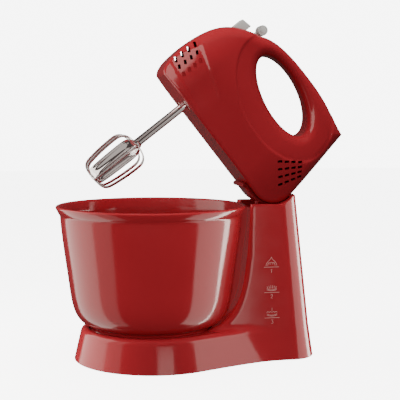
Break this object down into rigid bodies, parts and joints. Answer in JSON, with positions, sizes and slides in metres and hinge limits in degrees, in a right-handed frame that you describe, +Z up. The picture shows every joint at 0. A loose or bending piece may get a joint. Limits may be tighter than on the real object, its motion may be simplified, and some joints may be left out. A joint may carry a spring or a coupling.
{
  "type": "hand mixer",
  "caption": "Hand mixer with two wire-free strip beaters on a tilting stand, tipped up over a turning bowl; housing, motor, worm drive, ejector and stand are separate pieces.",
  "frame": {"origin": "on the surface it stands on, under the middle of the whole object's box", "axes": "+Z up, +X from the bowl to the column, and the object is symmetric in outline about Y = 0"},
  "size_m": [0.3298, 0.2152, 0.3877],
  "materials": {
    "red_plastic": "polished moulded red plastic",
    "grey_plastic": "satin light grey plastic",
    "chrome": "bright chromed steel",
    "steel": "plain pressed steel",
    "lamination": "stacked laminations",
    "copper": "enamelled copper winding",
    "brass": "sintered bronze and brass",
    "nylon": "natural nylon",
    "black_plastic": "black moulded plastic",
    "rubber": "moulded rubber"
  },
  "bodies": {
    "stand": {"stand_shell": "red_plastic", "bottom_cover": "black_plastic", "foot_1": "rubber", "foot_2": "rubber", "foot_3": "rubber", "foot_4": "rubber", "turntable_post": "nylon", "guide_plate_left": "steel", "guide_plate_right": "steel", "detent_spring": "steel"},
    "head": {"tilt_cradle": "red_plastic", "guide_pin": "steel"},
    "mixer": {"housing_left": "red_plastic", "housing_right": "red_plastic", "housing_screw_1": "steel", "housing_screw_2": "steel", "housing_screw_3": "steel", "housing_screw_4": "steel", "ejector_spring": "steel", "spring_shelf": "nylon", "lever_pin": "steel", "speed_switch": "black_plastic", "stator_core": "lamination", "field_coil_upper": "copper", "field_coil_lower": "copper", "front_bush": "brass", "middle_bush": "brass", "rear_bush": "brass", "rear_bracket": "steel", "brush_holder_left": "brass", "brush_holder_right": "brass", "gear_frame": "steel", "cord_gland": "rubber"},
    "rotor": {"rotor_shaft": "steel", "rotor_core": "lamination", "commutator": "copper", "cooling_fan": "black_plastic"},
    "wheel_left": {"worm_wheel_left": "nylon"},
    "wheel_right": {"worm_wheel_right": "nylon"},
    "beater_left": {"beater_left": "chrome"},
    "beater_right": {"beater_right": "chrome"},
    "ejector": {"eject_button": "grey_plastic", "ejector_fork": "nylon"},
    "lever": {"speed_lever": "grey_plastic"},
    "turntable": {"turntable": "red_plastic"},
    "bowl": {"bowl": "red_plastic"}
  },
  "joints": [
    {"name": "head_tilt", "type": "hinge", "parent": "stand", "child": "head", "pos_m": [0.07843, 0, 0.209], "axis": [0, -1, 0], "range_deg": [0, 52]},
    {"name": "mixer_lift", "type": "slide", "parent": "head", "child": "mixer", "axis": [-0.788, 0, -0.6157], "range_m": [-0.06, 0]},
    {"name": "motor_spin", "type": "hinge", "parent": "mixer", "child": "rotor", "pos_m": [0.08395, 0, 0.21331], "axis": [0.6157, 0, -0.788], "continuous": true},
    {"name": "beater_spin_left", "type": "hinge", "parent": "mixer", "child": "wheel_left", "pos_m": [0.00148, 0.0205, 0.3075], "axis": [0.788, 0, 0.6157], "continuous": true},
    {"name": "beater_spin_right", "type": "hinge", "parent": "mixer", "child": "wheel_right", "pos_m": [0.00148, -0.0205, 0.3075], "axis": [0.788, 0, 0.6157], "continuous": true},
    {"name": "beater_pull_left", "type": "slide", "parent": "wheel_left", "child": "beater_left", "axis": [0.788, 0, 0.6157], "range_m": [-0.024, 0]},
    {"name": "beater_pull_right", "type": "slide", "parent": "wheel_right", "child": "beater_right", "axis": [0.788, 0, 0.6157], "range_m": [-0.024, 0]},
    {"name": "eject_press", "type": "slide", "parent": "mixer", "child": "ejector", "axis": [-0.788, 0, -0.6157], "range_m": [0, 0.006], "stiffness_N_per_m": 300, "springref_m": -0.002},
    {"name": "speed_select", "type": "hinge", "parent": "mixer", "child": "lever", "pos_m": [0.05489, 0, 0.36421], "axis": [0, 1, 0], "range_deg": [-8, 3]},
    {"name": "turntable_spin", "type": "hinge", "parent": "stand", "child": "turntable", "pos_m": [-0.05727, 0, 0.035], "axis": [0, 0, 1], "continuous": true},
    {"name": "bowl_lift", "type": "slide", "parent": "turntable", "child": "bowl", "axis": [0, 0, -1], "range_m": [-0.015, 0]}
  ],
  "couplings": [
    {"joint": "beater_spin_left", "follows": "motor_spin", "ratio": -0.083333},
    {"joint": "beater_spin_right", "follows": "motor_spin", "ratio": 0.083333}
  ]
}
